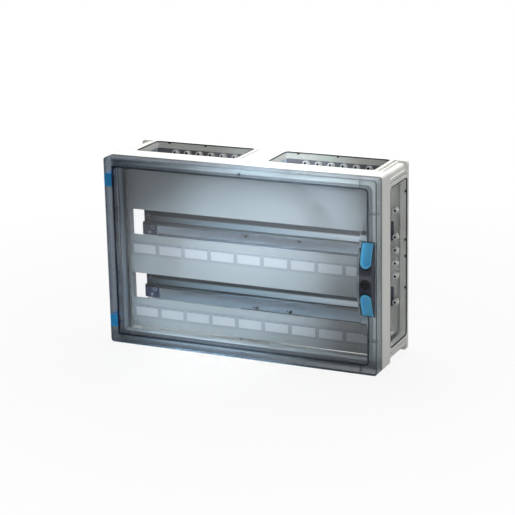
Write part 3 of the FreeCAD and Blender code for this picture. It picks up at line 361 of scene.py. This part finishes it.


# Boss sleeves and shade strips
# Pale sleeves cap the fixing bosses on the floor of the tray, with black discs in their middles as
# painted shade of the holes.
# A dark strip of painted shade lies along their feet in the top and bottom openings.
BOSS_PITCH = 0.025
GROUP_MIDDLE, END_ROW, END_STEPS = 0.135, 0.1621, (-2.5, -1.5, -0.5, 0.5, 1.5, 2.5)
SIDE_ROW, SIDE_STEPS = 0.2495, (-3.5, -1.5, -0.5, 0.5, 1.5, 3.5)
SLEEVE_RADIUS, SLEEVE_DEPTH, SLEEVE_Y = 0.0048, 0.0016, -0.0158
SOCKET_RADIUS, SOCKET_DEPTH, SOCKET_Y = 0.0023, 0.0004, -0.0167
STRIP_REACH, STRIP_INNER, STRIP_OUTER = 0.104, 0.1500, 0.1675
STRIP_FRONT, STRIP_BACK = -0.0056, -0.0048


def new_piece(name, mesh, material, body):
    """A finished mesh becomes an object that rides on a body."""
    bmesh.ops.recalc_face_normals(mesh, faces=mesh.faces)
    data = bpy.data.meshes.new(name)
    mesh.to_mesh(data)
    mesh.free()
    data.materials.append(material)
    piece = bpy.data.objects.new(name, data)
    bpy.context.scene.collection.objects.link(piece)
    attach(piece, body)


def add_box(mesh, low, high):
    """A box between two corners, in metres."""
    low, high = Vector(low), Vector(high)
    cube = bmesh.ops.create_cube(mesh, size=1)["verts"]
    bmesh.ops.scale(mesh, verts=cube, vec=high - low)
    bmesh.ops.translate(mesh, verts=cube, vec=(low + high) / 2)


def add_disc(mesh, place, radius, depth, segments=24):
    """A short cylinder that faces the front, centred on a place."""
    facing = Matrix.Rotation(math.radians(90), 4, "X")
    bmesh.ops.create_cone(mesh, cap_ends=True, segments=segments, radius1=radius, radius2=radius,
                          depth=depth, matrix=Matrix.Translation(place) @ facing)


bosses = [(side * GROUP_MIDDLE + step * BOSS_PITCH, end * END_ROW)
          for side in (-1, 1) for end in (-1, 1) for step in END_STEPS]
bosses += [(side * SIDE_ROW, step * BOSS_PITCH) for side in (-1, 1) for step in SIDE_STEPS]
sleeves, hole_shades = bmesh.new(), bmesh.new()
for x, z in bosses:
    add_disc(sleeves, (x, SLEEVE_Y, z), SLEEVE_RADIUS, SLEEVE_DEPTH)
    # Painted shade: each sleeve gets a black disc for its shaded hole. The same black also serves the
    # real seal tabs.
    add_disc(hole_shades, (x, SOCKET_Y, z), SOCKET_RADIUS, SOCKET_DEPTH)
sleeve_white = moulded("sleeve_white", (0.90, 0.91, 0.93), (0.94, 0.95, 0.97), gloss=0.4, depth=0.05)
black_tab_and_hole_shade = moulded("black_tab_and_hole_shade", (0.010, 0.010, 0.012), (0.016, 0.016, 0.020), gloss=0.5,
                       depth=0.05)
new_piece("boss_sleeves", sleeves, sleeve_white, "enclosure")
new_piece("boss_hole_shades", hole_shades, black_tab_and_hole_shade, "enclosure")
# Painted shade: slate strips where the floor of the tray lies in shade below the top and bottom openings.
shade_strips = bmesh.new()
for side in (-1, 1):
    for end in (-1, 1):
        low, high = sorted((end * STRIP_INNER, end * STRIP_OUTER))
        add_box(shade_strips, (side * GROUP_MIDDLE - STRIP_REACH, STRIP_FRONT, low),
                (side * GROUP_MIDDLE + STRIP_REACH, STRIP_BACK, high))
strip_painted_shade = moulded("strip_painted_shade", (0.20, 0.20, 0.245), (0.24, 0.24, 0.285), gloss=0.6, depth=0.05)
new_piece("boss_shade_strips", shade_strips, strip_painted_shade, "enclosure")

# Seal tabs
# The snap-in wall seals have small dark tabs where they clip over the edge of an opening.
# They are moulded in one with the seal, along its front edge and its rear edge.
FRONT_EDGE, REAR_EDGE = -0.0925, -0.0095
SIDE_FACE, END_FACE = 0.2680, 0.1780
TAB_HALF_LENGTH, TAB_HALF_DEPTH, TAB_HALF_HEIGHT = 0.002, 0.0012, 0.0018
SIDE_TABS = ((FRONT_EDGE, (0.133, 0.090, 0.044, 0, -0.048, -0.138)),
             (REAR_EDGE, (0.1245, 0.033, 0.002, -0.058)))
END_TABS = ((FRONT_EDGE, (-0.225, -0.049, 0.043, 0.223)),
            (REAR_EDGE, (-0.211, -0.134, 0.057, 0.136)))


def add_tab(mesh, middle, half):
    """A box round its middle, given half its size."""
    middle, half = Vector(middle), Vector(half)
    add_box(mesh, middle - half, middle + half)


tabs = bmesh.new()
for side in (-1, 1):
    for y, heights in SIDE_TABS:
        for height in heights:
            add_tab(tabs, (side * SIDE_FACE, y, height),
                    (TAB_HALF_HEIGHT, TAB_HALF_DEPTH, TAB_HALF_LENGTH))
    for y, places in END_TABS:
        for x in places:
            add_tab(tabs, (x, y, side * END_FACE),
                    (TAB_HALF_LENGTH, TAB_HALF_DEPTH, TAB_HALF_HEIGHT))
new_piece("seal_tabs", tabs, black_tab_and_hole_shade, "enclosure")

# Floor studs
# Small fixing studs, each with a lower one beside it, stand on the floor of the tray, painted dark for
# the shade they stand in.
# They show through the two device slots.
STUD_PLACES = ((-0.054, 0.009), (0.057, 0.009), (-0.034, -0.1335), (0.036, -0.1335))
STUD_RADIUS, STUD_HEIGHT, STUD_Y = 0.0032, 0.006, -0.008
SMALL_STUD_RADIUS, SMALL_STUD_HEIGHT, SMALL_STUD_Y = 0.0014, 0.003, -0.006
STUD_SPACING, SMALL_STUD_SIDES = 0.008, 12
studs = bmesh.new()
for x, z in STUD_PLACES:
    add_disc(studs, (x, STUD_Y, z), STUD_RADIUS, STUD_HEIGHT)
    add_disc(studs, (x - STUD_SPACING, SMALL_STUD_Y, z), SMALL_STUD_RADIUS, SMALL_STUD_HEIGHT,
             SMALL_STUD_SIDES)
# Painted shade: the studs are coloured near black, as they look in the shade behind the cover.
stud_painted_shade = moulded("stud_painted_shade", (0.05, 0.055, 0.07), (0.08, 0.085, 0.10), gloss=0.4, depth=0.05)
new_piece("floor_studs", studs, stud_painted_shade, "enclosure")

# End plates of painted shadow
# A near black navy plate stands beside the left bracket of each rail, under the rail and up its side, as
# painted shadow at the left end of each slot.
# It has a fixing screw in a paler ring, and a smaller ring below.
ROW_HEIGHTS = (0.047, -0.078)
PLATE_LEFT, PLATE_STEP, PLATE_RIGHT = -0.2480, -0.2230, -0.2180
PLATE_FRONT, PLATE_BACK = -0.0600, -0.0585
PLATE_FOOT, PLATE_SHOULDER, PLATE_HEAD = -0.0400, -0.0175, 0.0120
RING_X, RING_Y, RING_DROP = -0.2265, -0.0608, -0.0235
RING_RADIUS, RING_DEPTH = 0.0042, 0.0016
SMALL_RING_X, SMALL_RING_Y, SMALL_RING_DROP = -0.2330, -0.0606, -0.0340
SMALL_RING_RADIUS, SMALL_RING_DEPTH = 0.0030, 0.0012
SCREW_Y, SCREW_RADIUS, SCREW_DEPTH = -0.0618, 0.0026, 0.0006
shadow_plates, rings = bmesh.new(), bmesh.new()
for row in ROW_HEIGHTS:
    add_box(shadow_plates, (PLATE_LEFT, PLATE_FRONT, row + PLATE_FOOT),
            (PLATE_RIGHT, PLATE_BACK, row + PLATE_SHOULDER))
    add_box(shadow_plates, (PLATE_STEP, PLATE_FRONT, row + PLATE_SHOULDER),
            (PLATE_RIGHT, PLATE_BACK, row + PLATE_HEAD))
    add_disc(rings, (RING_X, RING_Y, row + RING_DROP), RING_RADIUS, RING_DEPTH)
    add_disc(rings, (SMALL_RING_X, SMALL_RING_Y, row + SMALL_RING_DROP), SMALL_RING_RADIUS,
             SMALL_RING_DEPTH)
    add_disc(shadow_plates, (RING_X, SCREW_Y, row + RING_DROP), SCREW_RADIUS, SCREW_DEPTH)
ring_grey = moulded("ring_grey", (0.20, 0.23, 0.28), (0.25, 0.28, 0.33), gloss=0.3, depth=0.05)
new_piece("end_plate_rings", rings, ring_grey, "enclosure")
# Painted shadow: the plates are near black navy, for the shadow at the left end of each slot.
plate_painted_shadow = moulded("plate_painted_shadow", (0.016, 0.022, 0.045), (0.026, 0.034, 0.062), gloss=0.35, depth=0.05)
new_piece("end_plate_shadows", shadow_plates, plate_painted_shadow, "enclosure")

# Wall seals and door gasket
# Dark elastomer rings, pressed into grooves round each wall opening and round the mouth of the tray.
seal_rubber = moulded("seal_rubber", (0.045, 0.047, 0.052), (0.06, 0.062, 0.068), gloss=0.7, depth=0.1)
dress(seal_rubber, *(name for name in nodes if name.endswith("_wall_seal")))
gasket_rubber = moulded("gasket_rubber", (0.02, 0.022, 0.028), (0.03, 0.032, 0.04), gloss=0.7, depth=0.1)
dress(gasket_rubber, "door_gasket")


# Mounting rails
# Steel strip folded to a hat section, galvanised and passivated, so it shows fine lines along its length.
# Its colour carries painted light: the trough has painted shadow from the cover, the lower band a painted
# highlight, and the whole rail darkens towards the left and turns brighter and whiter towards the right.
STREAK_LENGTH, STREAK_DETAIL = 4, 3
STREAK_DARKEST = 0.86
DULLER, SHINIER = 0.08, 0.06
SCRATCH_STRENGTH, SCRATCH_HEIGHT = 0.05, 0.0001


def drawn_metal(name, colour, roughness, lines, metallic=1.0):
    """A drawn or rolled metal with streaks along X. More lines make them finer."""
    material = bpy.data.materials.new(name)
    tree, paint = paint_tree(material)
    paint.inputs["Metallic"].default_value = metallic
    along = tree.nodes.new("ShaderNodeMapping")
    along.inputs["Scale"].default_value = (STREAK_LENGTH, lines, lines)
    tree.links.new(object_place(tree), along.inputs["Vector"])
    streak = noise(tree, along.outputs[0], 1, STREAK_DETAIL)
    darkest = [part * STREAK_DARKEST for part in colour]
    tree.links.new(mixed(tree, streak, (*darkest, 1), (*colour, 1)), paint.inputs["Base Color"])
    tree.links.new(slope(tree, streak, 0, 1, roughness - SHINIER, roughness + DULLER),
                   paint.inputs["Roughness"])
    tree.links.new(bumped(tree, streak, SCRATCH_STRENGTH, SCRATCH_HEIGHT), paint.inputs["Normal"])
    return material


def banded(tree, value, first, between, last):
    """A colour in bands, from the first at 0 to the last at 1."""
    node = tree.nodes.new("ShaderNodeValToRGB")
    stops = node.color_ramp.elements
    stops[0].color = (*first, 1)
    stops[1].color = (*last, 1)
    for position, colour in between:
        stops.new(position).color = (*colour, 1)
    tree.links.new(value, node.inputs["Fac"])
    return node.outputs["Color"]


def scaled(tree, colour, share):
    """A colour made darker or lighter by a share."""
    node = tree.nodes.new("ShaderNodeVectorMath")
    node.operation = "SCALE"
    tree.links.new(colour, node.inputs[0])
    tree.links.new(share, node.inputs["Scale"])
    return node.outputs[0]


UPPER_ROW, HALF_PITCH = ROW_HEIGHTS[0], 0.0625
RAIL_REACH = 0.0185
RAIL_FOOT, RAIL_HEAD = (0.36, 0.40, 0.44), (0.015, 0.045, 0.09)
RAIL_SHADE_BANDS = ((0.145, 0.36), (0.15, 0.05), (0.18, 0.05), (0.20, 1.0), (0.44, 0.9), (0.52, 0.08))
BAND_RED, BAND_GREEN = 0.76, 0.92
HIGHLIGHT_GREY_END, HIGHLIGHT_WHITE_END = (0.85, 0.85, 0.85, 1), (1.36, 1.13, 1.05, 1)
rail_steel = drawn_metal("rail_steel", (0.62, 0.68, 0.72), roughness=0.38, lines=900, metallic=0.85)
tree, paint = paint_tree(rail_steel)
place = axes(tree)
# Painted shadow and highlight: bands across each rail darken the trough and light its lower band, and the
# rail darkens to the left and whitens to the right.
either_row = reckon(tree, "WRAP", place["Z"], UPPER_ROW + HALF_PITCH, UPPER_ROW - HALF_PITCH)
height = slope(tree, either_row, UPPER_ROW - RAIL_REACH, UPPER_ROW + RAIL_REACH)
bands = [(position, (level * BAND_RED, level * BAND_GREEN, level)) for position, level in RAIL_SHADE_BANDS]
shade = banded(tree, height, RAIL_FOOT, bands, RAIL_HEAD)
painted_light_along = slope(tree, place["X"], start=-0.25, end=0.16, first=0.10, last=1.3)
colour = scaled(tree, mixed(tree, 1.0, plain_colour(paint), shade, "MULTIPLY"), painted_light_along)
painted_highlight = mixed(tree, slope(tree, place["X"], start=-0.05, end=0.18), HIGHLIGHT_GREY_END, HIGHLIGHT_WHITE_END)
tree.links.new(mixed(tree, 1.0, colour, painted_highlight, "MULTIPLY"), paint.inputs["Base Color"])
dress(rail_steel, "din_rail_upper", "din_rail_lower")

# Terminal screws and hinge pins
# Turned steel, zinc plated. The screws clamp the conductors, and the pins are pressed through the clips.
screw_steel = drawn_metal("screw_steel", (0.72, 0.73, 0.74), roughness=0.3, lines=500)
dress(screw_steel, "earth_terminal_screws", "neutral_terminal_screws", "hinge_pin_upper",
      "hinge_pin_lower")

# Rail brackets and terminal carrier
# Moulded feet, screwed to the floor of the tray, that hold the rails and the terminal strips off it,
# painted near black navy for the shade they stand in.
# Painted shade: the brackets, the terminal carrier and the rail screws are coloured near black navy, for
# the shade inside the tray.
bracket_grey = moulded("bracket_grey", (0.022, 0.030, 0.055), (0.034, 0.044, 0.075), gloss=0.35)
dress(bracket_grey, *(name for name in nodes if name.startswith("rail_bracket")),
      "terminal_carrier", "rail_screws")

# Terminal strips
# Extruded brass bars with a screw for each conductor, fixed on the terminal carrier.
terminal_brass = drawn_metal("terminal_brass", (0.75, 0.58, 0.28), roughness=0.35, lines=700)
dress(terminal_brass, "earth_terminal_strip", "neutral_terminal_strip")

# Device cover
# A grey moulded sheet in front of the live parts, with a slot for each row of devices.
# Four fasteners in the same grey hold it on the posts of the tray.
cover_grey = moulded("cover_grey", (0.28, 0.283, 0.275), (0.31, 0.313, 0.305), gloss=0.42)
dress(cover_grey, "device_cover", "cover_screws")

# Slot shade strips
# A dark strip of painted shade runs behind the lower edge of each device slot, just behind the cover.
SLOT_SHADE_FRONT, SLOT_SHADE_BACK, SLOT_SHADE_RIGHT = -0.1104, -0.1074, 0.2445
SLOT_SHADE_FOOT, SLOT_SHADE_HEADS, SLOT_SHADE_LEFT_ENDS = -0.0265, (-0.0203, -0.0233), (-0.1900, -0.0200)
slot_shades = bmesh.new()
for row, left, head in zip(ROW_HEIGHTS, SLOT_SHADE_LEFT_ENDS, SLOT_SHADE_HEADS):
    add_box(slot_shades, (left, SLOT_SHADE_FRONT, row + SLOT_SHADE_FOOT), (SLOT_SHADE_RIGHT, SLOT_SHADE_BACK, row + head))
# Painted shade: near black strips for the dark line along the bottom of each slot.
slot_shade_black = moulded("slot_shade_black", (0.016, 0.018, 0.026), (0.024, 0.027, 0.036), gloss=0.45, depth=0.05)
new_piece("slot_shade_strips", slot_shades, slot_shade_black, "enclosure")

# Label carriers and cards
# Clear grey strips under each slot, clipped to the cover, that hold plain white cards.
carrier_clear = moulded("carrier_clear", (0.262, 0.265, 0.265), (0.292, 0.295, 0.295), gloss=0.25,
                        depth=0.03)
dress(carrier_clear, "label_carrier_upper", "label_carrier_lower")
card_white = moulded("card_white", (0.50, 0.495, 0.485), (0.55, 0.545, 0.535), gloss=0.8, depth=0.05)
dress(card_white, "label_cards_upper", "label_cards_lower")

# Module marks
# A plain grey dash for each module stands above the cards, printed on the face of the carrier.
MARK_HEIGHTS = (0.0058, -0.1192)
MODULES, FIRST_MARK, MARK_PITCH = 27, -0.2302, 0.0177
MARK_FRONT, MARK_BACK = -0.1149, -0.1143
MARK_HALF_LENGTH, MARK_HALF_HEIGHT = 0.0035, 0.0010
marks = bmesh.new()
for height in MARK_HEIGHTS:
    for step in range(MODULES):
        x = FIRST_MARK + step * MARK_PITCH
        add_box(marks, (x - MARK_HALF_LENGTH, MARK_FRONT, height - MARK_HALF_HEIGHT),
                (x + MARK_HALF_LENGTH, MARK_BACK, height + MARK_HALF_HEIGHT))
mark_grey = moulded("mark_grey", (0.10, 0.13, 0.15), (0.14, 0.17, 0.19), gloss=0.6, depth=0.05)
new_piece("module_marks", marks, mark_grey, "enclosure")

# Door
# A single clear moulding of lightly smoked polycarbonate. Its pane is polished, and its frame is finely
# grained, with painted light and shade that make it paler to the right and darker at the left and bottom,
# and a navy line of painted shade where the two meet.
FRAME_WIDE = 0.019
FRAME_EDGE = 0.001
PANE_ROUGHNESS, FRAME_ROUGHNESS = 0.015, 0.25
FRAME_SMOKE = (0.40, 0.43, 0.47)
NAVY_SHADE_LINE = (0.015, 0.02, 0.06)
FRAME_BANDS = ((0.05, (0.8, 0.8, 0.88)), (0.08, NAVY_SHADE_LINE), (0.18, NAVY_SHADE_LINE),
               (0.24, (0.50, 0.53, 0.56)), (0.60, (0.56, 0.59, 0.62)), (0.74, FRAME_SMOKE))
FRAME_PAINTED_LIGHT = (0.92, 0.93, 0.93, 1)
SMOKE, SMOKE_DENSITY = (0.26, 0.44, 0.60, 1), 26
LIGHT_LET_IN = (0.86, 0.92, 0.96, 1)
door_clear = bpy.data.materials.new("door_clear")
tree, paint = paint_tree(door_clear)
place = axes(tree)
past_pane = reckon(tree, "MAXIMUM", *(
    reckon(tree, "SUBTRACT", reckon(tree, "ABSOLUTE", place[axis]), half - FRAME_WIDE)
    for axis, half in (("X", cad_high.x), ("Z", cad_high.z))))
framed = slope(tree, past_pane, -FRAME_EDGE, FRAME_EDGE)
bands = banded(tree, slope(tree, past_pane, -FRAME_EDGE, FRAME_WIDE), (1, 1, 1), FRAME_BANDS, FRAME_SMOKE)
# Painted light and shade: the frame turns paler towards the right and darker at the bottom, and the navy
# line is painted shade.
painted_light_right = slope(tree, place["X"], start=-0.24, end=0.20, last=0.8)
tinted = mixed(tree, reckon(tree, "MULTIPLY", painted_light_right, framed), bands, FRAME_PAINTED_LIGHT)
painted_shade_below = slope(tree, place["Z"], start=-0.160, end=-0.150, first=0.72)
tree.links.new(scaled(tree, tinted, painted_shade_below), paint.inputs["Base Color"])
tree.links.new(slope(tree, framed, 0, 1, PANE_ROUGHNESS, FRAME_ROUGHNESS), paint.inputs["Roughness"])
paint.inputs["IOR"].default_value = 1.45
paint.inputs["Transmission Weight"].default_value = 1.0
rays = tree.nodes.new("ShaderNodeLightPath")
open_to_light = tree.nodes.new("ShaderNodeBsdfTransparent")
open_to_light.inputs["Color"].default_value = LIGHT_LET_IN
show_blend(tree, rays.outputs["Is Shadow Ray"], paint, open_to_light)
smoke = tree.nodes.new("ShaderNodeVolumeAbsorption")
smoke.inputs["Color"].default_value = SMOKE
smoke.inputs["Density"].default_value = SMOKE_DENSITY
tree.links.new(smoke.outputs[0], tree.nodes["Material Output"].inputs["Volume"])
dress(door_clear, "door_shell")

# Handle and lock
# The grip is moulded in dark smoked plastic and clipped into the door's bow.
# A black slotted plug sits in its middle.
handle_smoke = moulded("handle_smoke", (0.05, 0.055, 0.075), (0.07, 0.075, 0.10), gloss=0.12, depth=0.02)
dress(handle_smoke, "handle_body")
lock_black = moulded("lock_black", (0.008, 0.008, 0.012), (0.014, 0.014, 0.02), gloss=0.25, depth=0.03)
dress(lock_black, "lock_plug")

# Gate marks
# Small dark round marks in the top and bottom bands of the door, where its plastic entered the mould.
GATE_PLACES = ((0.007, 0.1690), (0.003, -0.1700))
GATE_Y, GATE_RADIUS, GATE_DEPTH = -0.1631, 0.0030, 0.0006
gates = bmesh.new()
for x, z in GATE_PLACES:
    add_disc(gates, (x, GATE_Y, z), GATE_RADIUS, GATE_DEPTH)
new_piece("gate_marks", gates, handle_smoke, "door")

# Finger ribs
# Six short dark ribs beside the handle, moulded on the outer edge of the door, give the fingers a hold.
RIB_COUNT, RIB_PITCH, TOP_RIB = 6, 0.0075, 0.022
RIB_LEFT, RIB_RIGHT, RIB_HALF_HEIGHT = 0.2672, 0.2695, 0.001
RIB_FRONT, RIB_BACK = -0.1637, -0.1629
ribs = bmesh.new()
for step in range(RIB_COUNT):
    height = TOP_RIB - step * RIB_PITCH
    add_box(ribs, (RIB_LEFT, RIB_FRONT, height - RIB_HALF_HEIGHT),
            (RIB_RIGHT, RIB_BACK, height + RIB_HALF_HEIGHT))
new_piece("finger_ribs", ribs, handle_smoke, "door")

# Latches and hinge clips
# Bright blue moulded slides that let the door open, and the blue clips that hold its hinge pins.
latch_blue = moulded("latch_blue", (0.15, 0.62, 0.95), (0.165, 0.65, 0.98), gloss=0.3, depth=0.05)
dress(latch_blue, "latch_upper", "latch_lower")
clip_blue = moulded("clip_blue", (0.006, 0.26, 0.60), (0.008, 0.28, 0.64), gloss=0.35, depth=0.05)
dress(clip_blue, "hinge_clip_upper", "hinge_clip_lower")

low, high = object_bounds()
